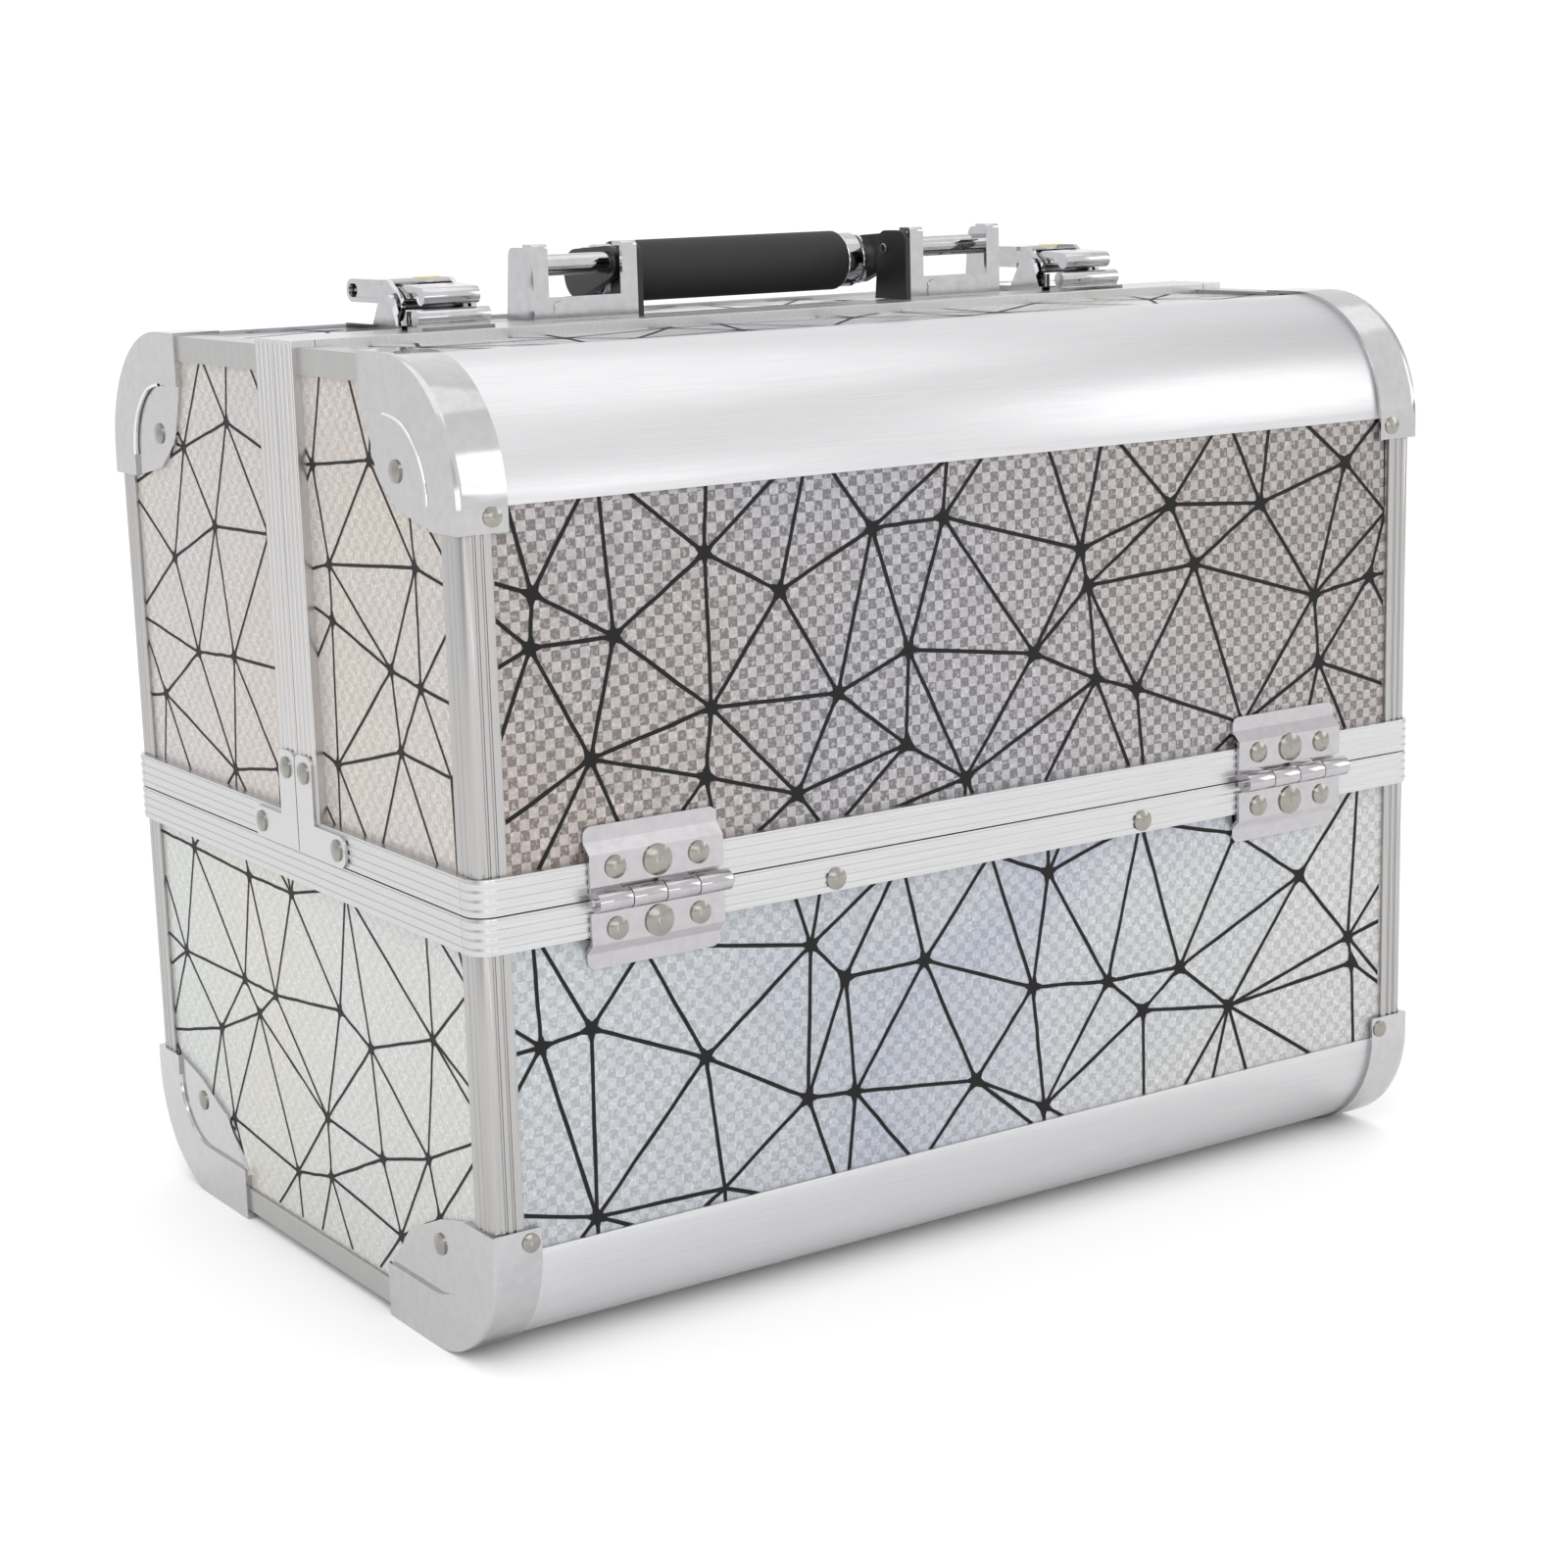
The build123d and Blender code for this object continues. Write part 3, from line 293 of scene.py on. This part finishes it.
half_board = 2.5 * MM
front_skin = ("Y", -panel_front - half_board)
end_skin = ("X", panel_end - half_board)
# Painted reflections and shade: each panel has its own square tones and sheen tints, lit and shaded copies of
# one laminate.
upper_lit_squares = ("c6c3c2", "7b7675")
lower_lit_squares = ("c9c9ca", "afb0b2")
lid_end_lit_squares = ("c5c2bf", "b3afac")
base_end_lit_squares = ("c8c8c6", "bdbdba")
upper_sheen_tints = ("d9cfc8", "d4d0d0", "d0d2da", "d5d3d7", "d5d1cd", "cac7c5")
lower_sheen_tints = ("e0e4e6", "dadee2", "ced2de", "dde0e6", "e9e9e6", "eae9e6")
lid_end_sheen_tints = ("eeeae8", "f0ebe2", "efe7e2", "efebe9", "edeaec", "f0eee9")
base_end_sheen_tints = ("eef0ea", "f0f2f2", "f2f0e8", "ecf0ee")
front_slope = (2.2, 0.0, 1.6)
end_slope = (0.0, 2.6, 1.2)
laminate_upper = laminate("check laminate upper with painted sheen", "XZ", front_skin, upper_lit_squares, front_slope,
                          (0.12, 1.02), upper_sheen_tints)
laminate_lower = laminate("check laminate lower with painted sheen", "XZ", front_skin, lower_lit_squares, (2.2, 0.0, -1.6),
                          (-0.25, 0.5), lower_sheen_tints)
laminate_end = laminate("check laminate lid ends with painted sheen", "YZ", end_skin, lid_end_lit_squares, end_slope,
                        (0.2, 0.8), lid_end_sheen_tints)
laminate_base_end = laminate("check laminate base ends with painted sheen", "YZ", end_skin, base_end_lit_squares, end_slope,
                             (0.0, 0.6), base_end_sheen_tints)
top_high = size_of("front_lid_top_panel")[1]
top_skin = ("Z", top_high.z - half_board)
laminate_top = laminate("check laminate top with painted sheen", "XY", top_skin, lower_lit_squares, (2.2, 1.5, 0.0),
                        (-0.2, 0.7), lower_sheen_tints)
print("laminate squares", check_square, "m, board skins at", panel_end, top_high.z)

# %% [markdown]
# ### Anodised aluminium
# The wide curved profiles are satin: fine lines from the die run along X, so the noise is
# stretched along X. The narrow ribbed profiles have the same metal, a little brighter.


# %% Anodised aluminium
def aluminium(name, colour, worn, along, roughness):
    """Satin anodised extrusion whose die lines run along one axis."""
    material, tree, shader, place = finish_named(name, colour, 0.92, roughness)
    stretch = [40.0 if axis == along else 2600.0 for axis in "XYZ"]
    lines = add(tree, "ShaderNodeMapping", {"Vector": place, "Scale": stretch})
    grain = add(tree, "ShaderNodeTexNoise", {"Vector": lines.outputs["Vector"], "Scale": 1.0, "Detail": 2.0})
    tree.links.new(mix_colour(tree, grain.outputs["Fac"], colour, worn), shader.inputs["Base Color"])
    rough_from(tree, shader, grain.outputs["Fac"], roughness - 0.05, roughness + 0.08)
    bump_from(tree, shader, grain.outputs["Fac"], 0.01 * MM, 0.25)
    return material


satin_profile = aluminium("satin anodised aluminium", "d2d2d3", "c0c0c2", "X", 0.34)
ribbed_profile = aluminium("ribbed anodised aluminium", "cecece", "bababb", "X", 0.28)
frame_profile = aluminium("seam frame aluminium", "d0cfce", "bebdbc", "Z", 0.28)
# Painted shade: the uprights are the same anodised aluminium, given a darker colour for the darker look of
# their faces.
shaded_upright_profile = aluminium("upright anodised aluminium with painted shade", "b6b5b4", "a4a3a2", "Z", 0.28)

# %% [markdown]
# ### Chrome, nickel and steel
# Plating has one even colour, and what it shows is the room: the lamps, the floor and the
# darker sectors of the sky. Handling leaves it slightly uneven, with a broad soft noise in
# the bump and fine smears that dull it in patches. Rivets are nickel: greyer and duller.


# %% Plated metals
def plated(name, colour, worn, roughness, wave):
    """Polished plating with faint smears and a slight broad unevenness."""
    material, tree, shader, place = finish_named(name, colour, 1.0, roughness)
    broad = add(tree, "ShaderNodeTexNoise", {"Vector": place, "Scale": 90.0, "Detail": 1.0})
    smear = add(tree, "ShaderNodeTexNoise", {"Vector": place, "Scale": 300.0, "Detail": 3.0})
    tree.links.new(mix_colour(tree, smear.outputs["Fac"], colour, worn), shader.inputs["Base Color"])
    rough_from(tree, shader, smear.outputs["Fac"], roughness, roughness + 0.08)
    bump_from(tree, shader, broad.outputs["Fac"], wave * MM, 0.6)
    return material


hinge_chrome = plated("hinge chrome", "bcbabc", "a8a5a8", 0.06, 0.05)
cap_chrome = plated("pressed chrome sheet", "c6c5c6", "b4b2b4", 0.1, 0.12)
# Painted highlight: the bead is pressed in the cap's own chrome sheet, and its lighter colour stands for the
# line of light along its ridge.
highlight_bead_chrome = plated("bead chrome with painted highlight", "e4e4e4", "d6d6d7", 0.12, 0.02)
bright_chrome = plated("bright chrome", "c6c5c6", "b0aeb0", 0.05, 0.06)
nickel = plated("nickel rivet", "a09e98", "8a8882", 0.14, 0.03)
steel = plated("plain steel", "9c9c9f", "8a8a8e", 0.25, 0.02)


# %% Black plastics and foam
def matt(name, colour, roughness, grain_mm, depth_mm):
    """Moulded plastic or foam with a fine grain."""
    material, tree, shader, place = finish_named(name, colour, 0.0, roughness)
    grain = add(tree, "ShaderNodeTexNoise", {"Vector": place, "Scale": 1 / (grain_mm * MM), "Detail": 3.0})
    rough_from(tree, shader, grain.outputs["Fac"], roughness - 0.08, roughness + 0.1)
    bump_from(tree, shader, grain.outputs["Fac"], depth_mm * MM, 0.5)
    return material


black_abs = matt("black ABS", "161617", 0.42, 0.9, 0.03)
tray_abs = matt("tray ABS", "1b1b1c", 0.5, 1.2, 0.05)
grip_foam = matt("EVA foam grip", "1d1d1e", 0.72, 0.7, 0.08)
mat_foam = matt("EVA foam mat", "141415", 0.85, 0.8, 0.1)

# %% [markdown]
# ### Put the finishes on the CAD nodes
# The frame's own objects keep their shape. Only their material slots change, and a weld and
# a small bevel soften the cut edges, as tumbling and anodising do.

# %% Which node gets which finish
finishes = {}
for lid in ("front_lid", "rear_lid"):
    finishes[f"{lid}_panel"] = laminate_upper
    finishes[f"{lid}_top_panel"] = laminate_top
    finishes[f"{lid}_end_panels"] = laminate_end
    finishes[f"{lid}_curved_profile"] = satin_profile
    finishes[f"{lid}_edge_profiles"] = shaded_upright_profile
    finishes[f"{lid}_rim"] = ribbed_profile
    finishes[f"{lid}_seam_frame"] = frame_profile
    finishes[f"{lid}_corner_caps"] = cap_chrome
    finishes[f"{lid}_seam_brackets"] = ribbed_profile
    finishes[f"{lid}_hinge_leaves"] = hinge_chrome
    finishes[f"{lid}_rivets"] = nickel
    finishes[f"{lid}_tray_pivots"] = steel
for side in ("front", "rear"):
    finishes[f"{side}_lower_tray"] = tray_abs
    finishes[f"{side}_upper_tray"] = tray_abs
    finishes[f"{side}_tray_arms"] = steel
    finishes[f"{side}_arm_rivets"] = nickel
for side in ("left", "right"):
    finishes[f"{side}_latch_lever"] = bright_chrome
    finishes[f"{side}_latch_hook"] = bright_chrome
finishes.update({
    "base_front_panel": laminate_lower,
    "base_rear_panel": laminate_lower,
    "base_end_panels": laminate_base_end,
    "floor_panel": black_abs,
    "floor_mat": mat_foam,
    "base_bottom_profiles": satin_profile,
    "base_edge_profiles": shaded_upright_profile,
    "base_rim": ribbed_profile,
    "base_corner_caps": cap_chrome,
    "base_rivets": nickel,
    "base_hinge_leaves": hinge_chrome,
    "hinge_pins": hinge_chrome,
    "arm_pivots": nickel,
    "latch_keepers": bright_chrome,
    "latch_bases": bright_chrome,
    "latch_pins": steel,
    "lock_cylinders": bright_chrome,
    "handle_brackets": bright_chrome,
    "handle_cheeks": black_abs,
    "handle_rods": bright_chrome,
    "handle_grip": grip_foam,
    "handle_collars": bright_chrome,
    "handle_arms": black_abs,
})
for name, material in finishes.items():
    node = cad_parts[name]
    for slot_index in range(max(1, len(node.material_slots))):
        if node.material_slots:
            node.material_slots[slot_index].material = material
        else:
            node.data.materials.append(material)
softened = {
    "corner_caps": 0.7, "rim": 0.25, "edge_profiles": 0.3, "seam_frame": 0.4, "seam_brackets": 0.4,
    "hinge_leaves": 0.3, "latch_lever": 0.5, "latch_hook": 0.5, "latch_keepers": 0.6, "latch_bases": 0.5,
    "handle_brackets": 0.5, "handle_cheeks": 0.5, "handle_arms": 0.9, "curved_profile": 0.2,
    "bottom_profiles": 0.2, "tray": 0.5, "tray_arms": 0.4,
}
for name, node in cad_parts.items():
    sizes = [size for part, size in softened.items() if name.endswith(part)]
    if not sizes:
        continue
    weld = node.modifiers.new("weld", "WELD")
    weld.merge_threshold = 0.002 * MM
    bevel = node.modifiers.new("soft edge", "BEVEL")
    bevel.width = sizes[0] * MM
    bevel.segments = 2
    bevel.limit_method = "ANGLE"
    bevel.angle_limit = math.radians(40)
    bevel.harden_normals = False
print("finished", len(finishes), "of", len(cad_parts), "nodes")
missing = [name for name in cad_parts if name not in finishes]
print("without a finish:", missing)

# %% [markdown]
# ## Printed lines
# The laminate is printed with black lines that join scattered points into triangles, with a
# small blot where they meet. Scattered points are joined by a Delaunay triangulation, each
# triangle is inset and its middle removed, which leaves a line of even width on both sides
# of every edge, and the sheet is cut to the panel with bisect.


# %% Scatter points over a rectangle
def scatter(width, depth, spacing, seed):
    """Staggered rows of points, each moved at random, reaching past the rectangle."""
    chance = random.Random(seed)
    points = []
    rows = int(depth / spacing) + 4
    columns = int(width / spacing) + 4
    for row in range(rows):
        for column in range(columns):
            across = (column - 1.5 + 0.5 * (row % 2)) * spacing
            up = (row - 1.5) * spacing * 0.9
            move = [chance.uniform(-0.36, 0.36) * spacing for _ in range(2)]
            points.append(Vector((across + move[0], up + move[1])))
    return points


# %% A blot where lines meet
print_spacing = 37 * MM
print_line = 0.62 * MM
print_rise = 0.12 * MM
print_tremble = 0.3 * MM
blot_rise = 0.03 * MM
blot_reach = 8.5
blot_waist = 3.4


def star_blot(shape, node, others, line):
    """A star of ink: it flares into each line that leaves a point."""
    ways = sorted(math.atan2(o.y - node.y, o.x - node.x) for o in others)
    rise = Vector((0, 0, blot_rise))
    centre = shape.verts.new(node + rise)
    rim = []
    for index, way in enumerate(ways):
        turn = (ways[(index + 1) % len(ways)] - way) % math.tau
        for angle, reach in ((way, line * blot_reach), (way + turn / 2, line * blot_waist)):
            rim.append(shape.verts.new(node + rise + Vector((math.cos(angle), math.sin(angle), 0)) * reach))
    for index, vertex in enumerate(rim):
        shape.faces.new((centre, vertex, rim[(index + 1) % len(rim)]))


# %% Turn the scattered points into thin printed lines
def printed_lines(name, body, corner, along, up, width, depth, seed, corner_cuts=(), line=print_line):
    """Black lines on a panel: corner, two directions in the panel and its size."""
    points = scatter(width, depth, print_spacing, seed)
    flat, _, faces, *_ = delaunay_2d_cdt(points, [], [], 0, 1e-6)
    mesh = bpy.data.meshes.new(name)
    mesh.from_pydata([(p.x, p.y, 0) for p in flat], [], faces)
    sheet = bpy.data.objects.new(name, mesh)
    bpy.context.scene.collection.objects.link(sheet)
    bpy.ops.object.select_all(action="DESELECT")
    bpy.context.view_layer.objects.active = sheet
    sheet.select_set(True)
    nodes = [vertex.co.copy() for vertex in mesh.vertices]
    joined = {index: set() for index in range(len(nodes))}
    for edge in mesh.edges:
        first, last = edge.vertices
        joined[first].add(last)
        joined[last].add(first)
    bpy.ops.object.mode_set(mode="EDIT")
    bpy.ops.mesh.select_mode(type="FACE")
    bpy.ops.mesh.select_all(action="SELECT")
    bpy.ops.mesh.inset(thickness=line, use_individual=True, use_even_offset=True)
    bpy.ops.mesh.delete(type="FACE")
    bpy.ops.mesh.select_all(action="SELECT")
    bpy.ops.mesh.subdivide(number_cuts=5)
    bpy.ops.object.mode_set(mode="OBJECT")
    for vertex in mesh.vertices:
        tremble = noise.noise_vector(vertex.co * 260 + Vector((seed, 0, 0)))
        vertex.co.x += tremble.x * print_tremble
        vertex.co.y += tremble.y * print_tremble
    bpy.ops.object.mode_set(mode="EDIT")
    edges = ((0, 0, 0, -1, 0), (width, 0, 0, 1, 0), (0, 0, 0, 0, -1), (0, depth, 0, 0, 1))
    for cut in (*edges, *corner_cuts):
        bpy.ops.mesh.select_all(action="SELECT")
        bpy.ops.mesh.bisect(plane_co=cut[:3], plane_no=(cut[3], cut[4], 0), clear_outer=True)
    bpy.ops.object.mode_set(mode="OBJECT")
    shape = bmesh.new()
    shape.from_mesh(mesh)
    for index, node in enumerate(nodes):
        if line * 7 < node.x < width - line * 7 and line * 7 < node.y < depth - line * 7:
            star_blot(shape, node, [nodes[other] for other in joined[index]], line)
    normal = Vector(along).cross(Vector(up)).normalized()
    place = Matrix((Vector(along), Vector(up), normal)).transposed().to_4x4()
    place.translation = Vector(corner) + normal * print_rise
    bmesh.ops.transform(shape, matrix=place, verts=shape.verts)
    for face in shape.faces:
        if face.normal.dot(normal) < 0:
            face.normal_flip()
    shape.to_mesh(mesh)
    shape.free()
    mesh.materials.append(print_ink)
    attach(sheet, body)
    print(name, len(mesh.polygons), "faces")
    return sheet


# The tremble's noise starts from the clock unless it has a seed, and each run must be the same.
noise.seed_set(7)
print_ink, ink_tree, ink_shader, ink_place = finish_named("gravure ink", "0a0a0b", 0.0, 0.55)
ink_shader.inputs["Specular IOR Level"].default_value = 0.25
ink_patch = add(ink_tree, "ShaderNodeTexNoise", {"Vector": ink_place, "Scale": 160.0, "Detail": 2.0})
ink_tone = mix_colour(ink_tree, ink_patch.outputs["Fac"], "060607", "121214")
ink_tree.links.new(ink_tone, ink_shader.inputs["Base Color"])

# %% Lines on the long panels
base_low, base_high = size_of("base_front_panel")
post_gap = 8.6 * MM
long_half = front_high.x + 0.001 - post_gap + 3 * MM
for lid, y, facing, seed in (("front_lid", panel_front, 1, 3), ("rear_lid", panel_rear, -1, 8)):
    start = (-long_half * facing, y, front_low.z)
    along = (facing, 0, 0)
    depth = front_high.z - front_low.z
    printed_lines(f"{lid}_lines", lid, start, along, (0, 0, 1), 2 * long_half, depth, seed)
for side, y, facing, seed in (("front", panel_front, 1, 5), ("rear", panel_rear, -1, 12)):
    start = (-long_half * facing, y, base_low.z)
    along = (facing, 0, 0)
    depth = base_high.z - base_low.z
    printed_lines(f"base_{side}_lines", "case_base", start, along, (0, 0, 1), 2 * long_half, depth, seed)

# %% [markdown]
# The ends are cut by the lids' seam, and the lids' upper corners are round, so a slanting
# cut keeps the lines inside the corner caps. The top panels carry the same print.

# %% Lines on the ends and the top
strip_half = 109.5 * MM
end_line = 0.48 * MM
edge_low = end_low.z + 9 * MM
for end in (-1, 1):
    x = end * panel_end
    side_word = "left" if end < 0 else "right"
    along = (0, -1, 0) if end < 0 else (0, 1, 0)
    start = (x, -end * strip_half, edge_low)
    depth = end_high.z - edge_low
    printed_lines(f"base_{side_word}_lines", "case_base", start, along, (0, 0, 1),
                  2 * strip_half, depth, 21 + end, line=end_line)
    for lid, sign in (("front_lid", -1), ("rear_lid", 1)):
        lid_low, lid_high = size_of(f"{lid}_end_panels")
        inner = lid_high.y if sign < 0 else lid_low.y
        outer = sign * strip_half
        first, last = (inner, outer) if along[1] * (outer - inner) > 0 else (outer, inner)
        width = abs(outer - inner)
        depth = lid_high.z - 6 * MM - lid_low.z
        at_start = first == outer
        slant = (16 * MM if at_start else width - 16 * MM, depth, 0, -1 if at_start else 1, 1)
        start = (x, first, lid_low.z)
        seed = 40 + 3 * end + sign
        name = f"{lid}_{side_word}_lines"
        printed_lines(name, lid, start, along, (0, 0, 1), width, depth, seed, (slant,), end_line)
for lid in ("front_lid", "rear_lid"):
    low, high = size_of(f"{lid}_top_panel")
    start = (low.x, low.y, high.z)
    width, depth = high.x - low.x, high.y - low.y
    printed_lines(f"{lid}_top_lines", lid, start, (1, 0, 0), (0, 1, 0), width, depth, 60 + len(lid))

# %% [markdown]
# ## Pressed beads on the upper caps
# The end plate of each upper cap has a thin raised bead along the inner edge of its ring. A
# torus is cut down to a quarter.

# %% Beads
bead_radius = 0.55 * MM
for lid, sign in (("front_lid", -1), ("rear_lid", 1)):
    caps_high = size_of(f"{lid}_corner_caps")[1]
    curve_low, curve_high = size_of(f"{lid}_curved_profile")
    middle_y = curve_low.y if sign > 0 else curve_high.y
    middle_z = curve_low.z
    ring = (curve_high.z - curve_low.z) - 16 * MM
    for end in (-1, 1):
        face_x = end * (caps_high.x - 0.1 * MM)
        bpy.ops.object.select_all(action="DESELECT")
        bpy.ops.mesh.primitive_torus_add(major_segments=96, minor_segments=8, major_radius=ring,
                                         minor_radius=bead_radius, location=(face_x, middle_y, middle_z),
                                         rotation=(0, math.radians(90), 0))
        bead = bpy.context.object
        bead.name = f"{lid}_{'left' if end < 0 else 'right'}_cap_bead"
        bpy.ops.object.transform_apply(location=True, rotation=True, scale=True)
        bpy.ops.object.mode_set(mode="EDIT")
        bpy.ops.mesh.select_all(action="SELECT")
        bpy.ops.mesh.bisect(plane_co=(face_x, middle_y, middle_z), plane_no=(0, 0, 1), clear_inner=True)
        bpy.ops.mesh.select_all(action="SELECT")
        bpy.ops.mesh.bisect(plane_co=(face_x, middle_y, middle_z), plane_no=(0, sign, 0), clear_inner=True)
        bpy.ops.object.mode_set(mode="OBJECT")
        # Painted highlight: the bead's lighter chrome stands for the light along its ridge.
        bead.data.materials.append(highlight_bead_chrome)
        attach(bead, lid)
print("beads of radius", ring)

# %% [markdown]
# ## Small things on the fittings
# Each latch lever carries a blank yellow sticker with round corners, and the end of each
# handle rod shows as a small head with a rounded rim on the inner cheek of its bracket.

# %% Stickers on the levers
sticker_film = matt("yellow sticker film", "f2d21c", 0.4, 1.5, 0.01)
for side_word, end in (("left", -1), ("right", 1)):
    low, high = size_of(f"{side_word}_latch_lever")
    centre = ((low.x + high.x) / 2 + 6.5 * MM, low.y + 17 * MM, high.z + 0.06 * MM)
    bpy.ops.object.select_all(action="DESELECT")
    bpy.ops.mesh.primitive_cube_add(size=1, location=centre)
    sticker = bpy.context.object
    sticker.name = f"{side_word}_latch_sticker"
    sticker.scale = (8 * MM, 5 * MM, 0.1 * MM)
    bpy.ops.object.transform_apply(location=True, rotation=True, scale=True)
    film = bmesh.new()
    film.from_mesh(sticker.data)
    upright = [edge for edge in film.edges if abs(edge.verts[0].co.z - edge.verts[1].co.z) > 0.05 * MM]
    bmesh.ops.bevel(film, geom=upright, offset=1.2 * MM, segments=5, profile=0.5, affect="EDGES")
    film.to_mesh(sticker.data)
    film.free()
    sticker.data.materials.append(sticker_film)
    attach(sticker, f"{side_word}_lever")
    print(sticker.name, centre)

# %% Rod ends on the bracket cheeks
rod_low, rod_high = size_of("handle_rods")
rod_middle = ((rod_low.y + rod_high.y) / 2, (rod_low.z + rod_high.z) / 2)
inner_face = min(abs(v.co.x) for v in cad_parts["handle_cheeks"].data.vertices)
for side_word, end in (("left", -1), ("right", 1)):
    bpy.ops.object.select_all(action="DESELECT")
    bpy.ops.mesh.primitive_cylinder_add(vertices=24, radius=1.7 * MM, depth=0.8 * MM,
                                        location=(end * (inner_face - 0.2 * MM), *rod_middle),
                                        rotation=(0, math.radians(90), 0))
    head = bpy.context.object
    head.name = f"{side_word}_rod_end"
    bpy.ops.object.transform_apply(location=True, rotation=True, scale=True)
    rounded = head.modifiers.new("rounded rim", "BEVEL")
    rounded.width = 0.35 * MM
    rounded.segments = 3
    rounded.limit_method = "ANGLE"
    rounded.angle_limit = math.radians(60)
    head.data.materials.append(nickel)
    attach(head, "rear_lid")
print("rod ends at", inner_face, rod_middle)
